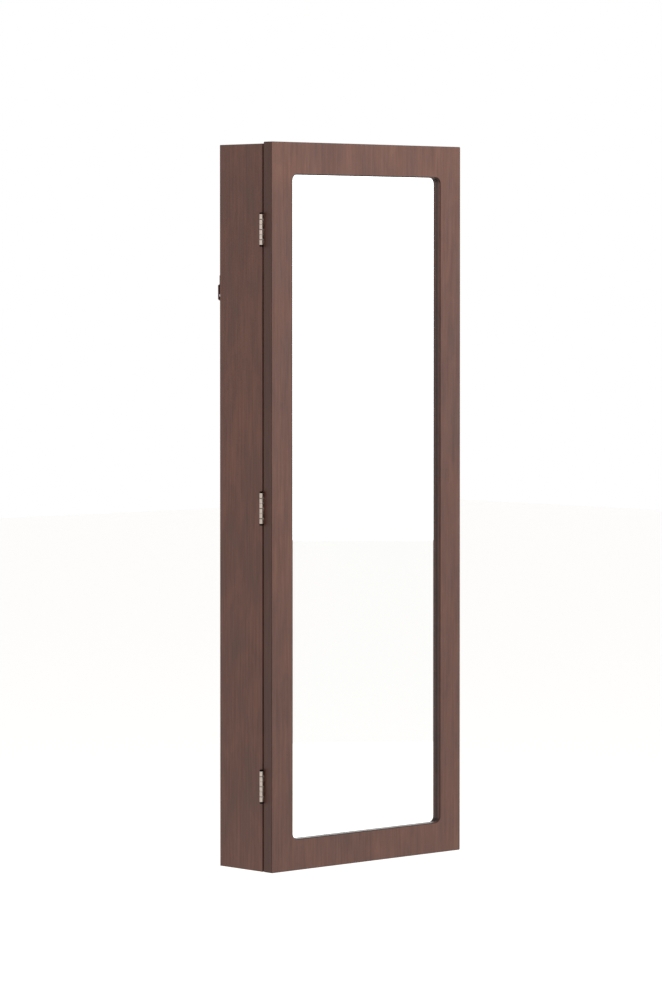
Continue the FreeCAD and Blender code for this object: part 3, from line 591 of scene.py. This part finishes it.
# %% Dress every solid
finish_of_slot = {
    "brown_wood": brown_wood,
    "back_board": hardboard,
    "dowel_wood": beech,
    "mirror": mirror_film,
    "nickel": nickel,
    "dark_steel": black_steel,
    "screw_steel": zinc,
    "brown_steel": brown_enamel,
    "brass": brass,
    "lining_suede": suede,
    "jewel_velvet": velvet,
    "pouch_cloth": cotton,
    "clear_acrylic": acrylic,
    "catch_plastic": brown_plastic,
    "magnet": ferrite,
    "pad_rubber": rubber,
}
for part in frame["record"]["subparts"]:
    solid = cad_nodes[part["node"]]
    material = finish_of_slot[part["material_slot"]]
    if part["node"] == "door_frame":
        material = frame_wood
    solid.data.materials.clear()
    solid.data.materials.append(material)

# %% [markdown]
# ## Tubes of cloth
# Ring rolls, padded bars and hems are all cloth wrapped round something long. One helper sweeps a
# closed section along X and hands each point to a small function that may push it in or out. That
# function is where the sewing shows: pinched ends, puckers, a seam.


# %% Helper for tubes
def mesh_piece(name, points, faces, material, body):
    mesh = bpy.data.meshes.new(name)
    mesh.from_pydata(points, [], faces)
    mesh.materials.append(material)
    for face in mesh.polygons:
        face.use_smooth = True
    piece = bpy.data.objects.new(name, mesh)
    bpy.context.scene.collection.objects.link(piece)
    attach(piece, body)
    return piece


def swept_tube(stations, section_count, place):
    """Points and faces of a closed tube: place(station, angle) gives each point."""
    points = []
    for station in stations:
        for number in range(section_count):
            points.append(place(station, 2 * math.pi * number / section_count))
    faces = []
    for row in range(len(stations) - 1):
        for number in range(section_count):
            after = (number + 1) % section_count
            a, b = row * section_count, (row + 1) * section_count
            faces.append((a + number, a + after, b + after, b + number))
    first = list(range(section_count))[::-1]
    last = [(len(stations) - 1) * section_count + number for number in range(section_count)]
    return points, faces + [first, last]


def eased_stations(low, high, end, end_steps, middle_steps):
    """Places along a tube, close together near both ends and wider in the middle."""
    ends = [end * (1 - math.cos(math.pi / 2 * step / end_steps)) for step in range(end_steps)]
    inner = [end + (high - low - 2 * end) * step / middle_steps for step in range(middle_steps + 1)]
    return [low + v for v in ends] + [low + v for v in inner] + [high - v for v in reversed(ends)]


print("tube helper ready")

# %% [markdown]
# ## Ring rolls
# Rings sit between soft rolls that press on each other. A roll is foam in velvet: almost round, a
# little square where its neighbours flatten it, with ends that are tucked in. The flattening is a
# superellipse, a circle whose power is above 2, and a slow noise keeps the pile from looking turned
# on a lathe.

# %% Ring rolls
ROLL_COUNT = 6
ROLL_TUCK = 7 * MM
ROLL_SQUARENESS = 2.5
ROLL_SIDES = 40
PUCKERS = 18
PUCKER_DEPTH = 0.35 * MM
PUCKER_REACH = 2.2 * ROLL_TUCK  # how far the puckers run from an end
PILE_SOFTNESS = 0.25 * MM
roll_low, roll_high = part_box("ring_rolls")
roll_pitch = (roll_high.z - roll_low.z) / ROLL_COUNT
roll_centre_y = (roll_low.y + roll_high.y) / 2
roll_radius = min(roll_pitch, roll_high.y - roll_low.y) / 2 - 0.1 * MM


def ring_roll(number):
    centre_z = roll_low.z + (number + 0.5) * roll_pitch
    seed = Vector((number * 3.7, 0, 0))

    def place(x, angle):
        from_end = min(x - roll_low.x, roll_high.x - x)
        tuck = min(1.0, from_end / ROLL_TUCK)
        end_share = 0.45 + 0.55 * math.sqrt(max(0.0, 1 - (1 - tuck) ** 2))
        c, s = math.cos(angle), math.sin(angle)
        square = (abs(c) ** ROLL_SQUARENESS + abs(s) ** ROLL_SQUARENESS) ** (-1 / ROLL_SQUARENESS)
        fade = max(0.0, 1 - from_end / PUCKER_REACH)
        puckers = PUCKER_DEPTH * math.cos(PUCKERS * angle + number) * fade
        soft = PILE_SOFTNESS * noise.noise(Vector((x * 40, c * 1.2, s * 1.2)) + seed)
        reach = min(roll_radius * end_share * square + puckers + soft, roll_radius * square)
        return (x, roll_centre_y + reach * c, centre_z + reach * s)

    stations = eased_stations(roll_low.x, roll_high.x, PUCKER_REACH, 14, 70)
    points, faces = swept_tube(stations, ROLL_SIDES, place)
    roll = mesh_piece(f"ring_roll_{number + 1}", points, faces, velvet, "carcass")
    return roll


rolls = [ring_roll(number) for number in range(ROLL_COUNT)]
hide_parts("ring_rolls")
print(len(rolls), "rolls of", round(2000 * roll_radius, 1), "mm")

# %% [markdown]
# ## Padded bracelet bars
# A bracelet bar is a beech rod in a padded velvet sleeve. The sleeve is sewn along its back, and its
# ends are drawn in with thread, which leaves pleats that fan out from the rod and fade along the
# bar. The pleats are a cosine round the section whose depth dies away from the end.

# %% Padded bracelet bars
SLEEVE_DRAW = 13 * MM  # how much of each end the thread draws in
SLEEVE_SIDES = 220
SLEEVE_PLEATS = 22
PLEAT_DEPTH = 0.9 * MM
PLEAT_REACH = 3.4 * SLEEVE_DRAW  # how far the pleats run from an end
SEAM_DEPTH = 0.8 * MM
SEAM_SPREAD = 0.06  # radians


def bracelet_cushion(level_name):
    low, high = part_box(f"{level_name}_bracelet_sleeve")
    core_low, core_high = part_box(f"{level_name}_bracelet_core")
    centre_y, centre_z = (low.y + high.y) / 2, (low.z + high.z) / 2
    radius = (high.z - low.z) / 2 - 0.2 * MM
    hole = (core_high.z - core_low.z) / 2 + 0.25 * MM
    seed = Vector((0, 9.1 if level_name == "upper" else 4.3, 0))

    def place(x, angle):
        from_end = min(x - low.x, high.x - x)
        drawn = min(1.0, from_end / SLEEVE_DRAW)
        share = math.sin(math.pi / 2 * drawn) ** 0.62
        fade = max(0.0, 1 - from_end / PLEAT_REACH) ** 1.6
        c, s = math.cos(angle), math.sin(angle)
        wander = 0.5 * noise.noise(Vector((x * 30, c, s)) + seed)
        pleat = PLEAT_DEPTH * fade * (math.cos(SLEEVE_PLEATS * (angle + wander)) - 1) * drawn**0.3
        seam = -SEAM_DEPTH * math.exp(-(((angle - math.pi / 2) / SEAM_SPREAD) ** 2))
        soft = 0.5 * MM * (noise.noise(Vector((x * 22, c, s)) + seed) - 0.4)
        reach = hole + (radius - hole) * share + pleat + seam * drawn + soft * drawn
        reach = max(hole, min(radius, reach))
        return (x, centre_y + reach * c, centre_z + reach * s)

    stations = eased_stations(low.x, high.x, PLEAT_REACH, 34, 60)
    points, faces = swept_tube(stations, SLEEVE_SIDES, place)
    name = f"{level_name}_bracelet_cushion"
    cushion = mesh_piece(name, points, faces, velvet, f"{level_name}_bracelet_bar")
    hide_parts(f"{level_name}_bracelet_sleeve")
    return cushion


cushions = [bracelet_cushion(level_name) for level_name in ("upper", "lower")]
print(len(cushions), "padded bars")

# %% [markdown]
# ## Cloth pocket on the door
# The pocket is one rectangle of cotton, wider than the place it fills. Elastic in its top hem gathers
# it, its sides and foot are caught under tapes, and the spare width stands out in folds.
#
# Cotton hardly stretches, so every row across the pocket has to be as long as the cloth was cut. That
# is what sets the depth of the folds: where the pocket bellies out, the belly uses up some of the
# width and the folds are shallower, and near the foot they are deeper. The code halves its way to the
# fold depth that gives each row the right length.

# %% Cloth pocket
POCKET_CUT = (0.346, 0.2045)  # the flat cotton, across and up
POCKET_FOLDS = 17
POCKET_COLUMNS = 340
POCKET_ROWS = 84
CLOTH_THICKNESS = 0.6 * MM
TAPE_WIDTH = 9 * MM
SEAM = TAPE_WIDTH / 2  # the cloth caught under each tape
HEM_TURN = 18 * MM  # the cloth folded over the elastic
BELLY = 17.5 * MM
MOUTH_SAG = 5 * MM
FOLD_SWAY = 0.3  # how far a fold leans sideways, as a share of its depth
FOLD_FADE = 9  # the folds die away in the last ninth at each side
DEEPEST_FOLD = 8 * MM
HALVINGS = 12
CLOTH_REST = 0.6 * MM  # where the cloth lies in front of the lining
CLOTH_NEAREST = 0.5 * MM
pocket_low, pocket_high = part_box("door_pouch")
pocket_width = pocket_high.x - pocket_low.x
pocket_height = pocket_high.z - pocket_low.z
cloth_across = POCKET_CUT[0] - 2 * SEAM


def pocket_point(u, v, fold_depth):
    """A point of the cloth: u runs across it and v runs up it, both from 0 to 1."""
    across = max(0.0, math.sin(math.pi * u)) ** 0.42
    foot = math.sin(math.pi / 2 * min(1.0, v / 0.3)) ** 0.75
    belly = across * foot * (1.0 - 0.14 * v)
    phase = 2 * math.pi * POCKET_FOLDS * (u + 0.012 * noise.noise(Vector((u * 7, v * 1.3, 2.0))))
    varied = 0.8 + 0.5 * noise.noise(Vector((u * 9, v * 2.1, 7.0)))
    fold = fold_depth * varied * min(1.0, FOLD_FADE * u, FOLD_FADE * (1 - u))
    soft = 1.2 * MM * noise.noise(Vector((u * 5, v * 4, 11.0))) * belly
    y = pocket_low.y + CLOTH_REST + BELLY * belly + fold * (1 + math.sin(phase)) + soft
    sway = FOLD_SWAY * fold * math.sin(2 * phase)
    x = pocket_low.x + SEAM + (pocket_width - TAPE_WIDTH) * u + sway
    sag = MOUTH_SAG * math.sin(math.pi * u) * max(0.0, v - 0.5)
    z = pocket_low.z + SEAM + (pocket_height - TAPE_WIDTH) * v - sag
    return Vector((x, max(y, pocket_low.y + CLOTH_NEAREST), z))


def row_length(points):
    return sum((after - before).length for before, after in zip(points, points[1:]))


def gathered_row(v):
    """One row of the cloth, its folds just deep enough to use up the width that was cut."""
    shallow, deep = 0.0, DEEPEST_FOLD
    places = [column / POCKET_COLUMNS for column in range(POCKET_COLUMNS + 1)]
    for _ in range(HALVINGS):
        depth = (shallow + deep) / 2
        row = [pocket_point(u, v, depth) for u in places]
        if row_length(row) < cloth_across:
            shallow = depth
        else:
            deep = depth
    return row


def cloth_pocket(rows):
    wide = POCKET_COLUMNS + 1
    faces = []
    for row in range(POCKET_ROWS):
        for column in range(POCKET_COLUMNS):
            a = row * wide + column
            faces.append((a, a + wide, a + wide + 1, a + 1))
    points = [point for row in rows for point in row]
    pocket = mesh_piece("door_pocket", points, faces, cotton, "door")
    thicken = pocket.modifiers.new("cloth", "SOLIDIFY")
    thicken.thickness = CLOTH_THICKNESS
    thicken.offset = 0
    return pocket


pocket_rows = [gathered_row(row / POCKET_ROWS) for row in range(POCKET_ROWS + 1)]
pocket = cloth_pocket(pocket_rows)
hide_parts("door_pouch")
lengths = [1000 * row_length(row) for row in pocket_rows]
quarters = range(0, POCKET_COLUMNS + 1, POCKET_COLUMNS // 4)
uprights = [1000 * row_length([row[column] for row in pocket_rows]) for column in quarters]
cloth_up = POCKET_CUT[1] - SEAM - HEM_TURN
deepest = max(point.y for row in pocket_rows for point in row) - pocket_low.y
print("rows", round(min(lengths), 1), "to", round(max(lengths), 1), "mm")
print("cut between the seams", round(1000 * cloth_across, 1), "mm")
print("uprights", [round(v, 1) for v in uprights], "mm for", round(1000 * cloth_up, 1))
print("deepest", round(1000 * deepest, 1), "mm")

# %% [markdown]
# The hem is a tube of cloth over the elastic. It follows the top row of the pocket, so it bends with
# every fold. The tapes are flat woven strips that catch the pocket's sides and foot.


# %% Hem and tapes of the pocket
def tube_along(path, radius, sides, wobble, flat):
    """Points and faces of a soft tube along a list of points; flat squeezes it front to back."""

    def place(number, angle):
        centre = path[number]
        before = path[max(0, number - 1)]
        after = path[min(len(path) - 1, number + 1)]
        along = (after - before).normalized()
        out = along.cross(Vector((0, 0, 1)))
        out = out.normalized() if out.length > 1e-6 else Vector((0, 1, 0))
        up = out.cross(along).normalized()
        size = radius * (1 + wobble * math.sin(number * 1.9) + wobble * noise.noise(centre * 300))
        return centre + out * size * flat * math.cos(angle) + up * size * math.sin(angle)

    return swept_tube(range(len(path)), sides, place)


HEM_RADIUS = 3.6 * MM
HEM_SIDES = 14
HEM_WOBBLE = 0.09  # how unevenly the cloth bunches on the elastic
HEM_FLATNESS = 0.6  # its depth as a share of its height
HEM_NEAREST = 2.6 * MM  # its middle stays this far in front of the lining
hem_path = []
for edge in pocket_rows[-1][::2]:
    y = max(edge.y, pocket_low.y + HEM_NEAREST)
    hem_path.append(Vector((edge.x, y, edge.z - HEM_RADIUS)))
points, faces = tube_along(hem_path, HEM_RADIUS, HEM_SIDES, HEM_WOBBLE, HEM_FLATNESS)
hem = mesh_piece("pocket_hem", points, faces, cotton, "door")
print("hem", len(hem_path), "stations")

TAPE_THICKNESS = 1.3 * MM
TAPE_BACK = 0.05 * MM  # a hair in front of the lining
TAPE_EDGE = 0.45 * MM


def flat_tape(name, corners):
    """A woven tape: a flat strip with rounded edges."""
    (x0, z0), (x1, z1) = corners
    mesh = bpy.data.meshes.new(name)
    form = bmesh.new()
    bmesh.ops.create_cube(form, size=1.0)
    for vert in form.verts:
        vert.co.x = x0 if vert.co.x < 0 else x1
        vert.co.z = z0 if vert.co.z < 0 else z1
        vert.co.y = pocket_low.y + (TAPE_BACK if vert.co.y < 0 else TAPE_THICKNESS)
    bmesh.ops.bevel(form, geom=form.edges[:], offset=TAPE_EDGE, segments=2, affect="EDGES")
    form.to_mesh(mesh)
    form.free()
    mesh.materials.append(cotton)
    tape = bpy.data.objects.new(name, mesh)
    bpy.context.scene.collection.objects.link(tape)
    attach(tape, "door")
    return tape


x_left, x_right = pocket_low.x, pocket_high.x
z_foot, z_mouth = pocket_low.z, pocket_high.z
z_side = z_foot + TAPE_WIDTH
tape_corners = {
    "pocket_tape_left": ((x_left, z_side), (x_left + TAPE_WIDTH, z_mouth)),
    "pocket_tape_right": ((x_right - TAPE_WIDTH, z_side), (x_right, z_mouth)),
    "pocket_tape_foot": ((x_left, z_foot), (x_right, z_side)),
}
tapes = [flat_tape(name, corners) for name, corners in tape_corners.items()]
cut_area = POCKET_CUT[0] * POCKET_CUT[1]
print(len(tapes), "tapes; cut cloth", round(1e4 * cut_area), "square centimetres")
